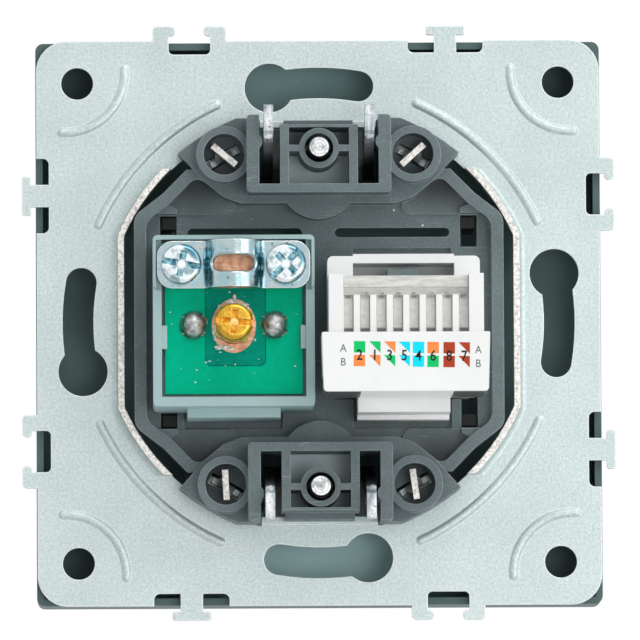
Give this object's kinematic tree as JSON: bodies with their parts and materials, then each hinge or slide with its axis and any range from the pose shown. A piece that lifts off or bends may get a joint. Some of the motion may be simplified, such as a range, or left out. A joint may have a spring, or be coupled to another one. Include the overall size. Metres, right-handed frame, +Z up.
{
  "type": "tv and data socket",
  "caption": "Flush wall socket with a coax TV outlet and an eight-way data jack, on a stamped steel frame with spreading claws",
  "frame": {"origin": "middle of the steel frame on its back face, which is the middle of the corner-hole pattern", "axes": "upright as installed: +Z up, +Y back into the wall box, the room at -Y, +X to the left as seen from behind"},
  "size_m": [0.0742, 0.0298, 0.0746],
  "materials": {
    "zinc_steel": "galvanised sheet steel",
    "bright_zinc": "bright zinc plating",
    "carrier_plastic": "dark grey satin plastic",
    "cover_plastic": "dark grey matt plastic",
    "grey_plastic": "light grey plastic",
    "white_plastic": "white plastic",
    "pale_plastic": "pale grey plastic",
    "clear_plastic": "frosted clear plastic",
    "board_green": "green solder mask",
    "copper": "bare copper",
    "solder": "tin solder",
    "nickel": "nickel plating",
    "gold": "gold plating",
    "brass": "plain brass"
  },
  "bodies": {
    "base": {"mounting_frame": "zinc_steel", "carrier": "carrier_plastic", "tv_housing": "grey_plastic", "tv_board": "board_green", "board_copper": "copper", "solder_joints": "solder", "coax_shell": "nickel", "coax_insulator": "white_plastic", "coax_pin": "brass", "earth_plate": "copper", "jack_adapter": "white_plastic", "jack_housing": "pale_plastic", "jack_board": "board_green", "jack_contacts": "gold", "jack_rear_block": "white_plastic", "wire_comb": "clear_plastic", "idc_contacts": "nickel"},
    "cover": {"front_cover": "cover_plastic"},
    "upper_claw": {"claw_top": "zinc_steel"},
    "lower_claw": {"claw_bottom": "zinc_steel"},
    "upper_claw_screw": {"claw_screw_top": "bright_zinc"},
    "lower_claw_screw": {"claw_screw_bottom": "bright_zinc"},
    "saddle": {"cable_saddle": "bright_zinc"},
    "left_saddle_screw": {"saddle_screw_left": "bright_zinc"},
    "right_saddle_screw": {"saddle_screw_right": "bright_zinc"},
    "washer": {"terminal_washer": "brass"},
    "core_screw": {"terminal_screw": "brass"}
  },
  "joints": [
    {"name": "cover_pull", "type": "slide", "parent": "base", "child": "cover", "axis": [0, -1, 0], "range_m": [0, 0.014]},
    {"name": "upper_screw_turn", "type": "hinge", "parent": "base", "child": "upper_claw_screw", "pos_m": [0, 0, 0.02115], "axis": [0, 1, 0], "range_deg": [-547, 2335]},
    {"name": "lower_screw_turn", "type": "hinge", "parent": "base", "child": "lower_claw_screw", "pos_m": [0, 0, -0.02115], "axis": [0, 1, 0], "range_deg": [0, 2881]},
    {"name": "upper_claw_swing", "type": "hinge", "parent": "base", "child": "upper_claw", "pos_m": [0, -0.0024, 0.02115], "axis": [1, 0, 0], "range_deg": [-5.5, 23.5]},
    {"name": "lower_claw_swing", "type": "hinge", "parent": "base", "child": "lower_claw", "pos_m": [0, -0.0024, -0.02115], "axis": [-1, 0, 0], "range_deg": [0, 29]},
    {"name": "saddle_lift", "type": "slide", "parent": "base", "child": "saddle", "axis": [0, 1, 0], "range_m": [0, 0.003]},
    {"name": "left_saddle_screw_turn", "type": "hinge", "parent": "saddle", "child": "left_saddle_screw", "pos_m": [0.01723, 0.013, 0.0062], "axis": [0, 1, 0], "range_deg": [0, 2161]},
    {"name": "right_saddle_screw_turn", "type": "hinge", "parent": "saddle", "child": "right_saddle_screw", "pos_m": [0.00427, 0.013, 0.0062], "axis": [0, 1, 0], "range_deg": [0, 2161]},
    {"name": "washer_lift", "type": "slide", "parent": "base", "child": "washer", "axis": [0, 1, 0], "range_m": [-0.0013, 0.0015]},
    {"name": "core_screw_turn", "type": "hinge", "parent": "washer", "child": "core_screw", "pos_m": [0.01075, 0.0152, -0.0012], "axis": [0, 1, 0], "range_deg": [-937, 1081]}
  ],
  "couplings": [
    {"joint": "upper_screw_turn", "follows": "upper_claw_swing", "ratio": 99.311},
    {"joint": "lower_screw_turn", "follows": "lower_claw_swing", "ratio": 99.311},
    {"joint": "left_saddle_screw_turn", "follows": "saddle_lift", "rad_per_m": 12566},
    {"joint": "right_saddle_screw_turn", "follows": "saddle_lift", "rad_per_m": 12566},
    {"joint": "core_screw_turn", "follows": "washer_lift", "rad_per_m": 12566}
  ]
}
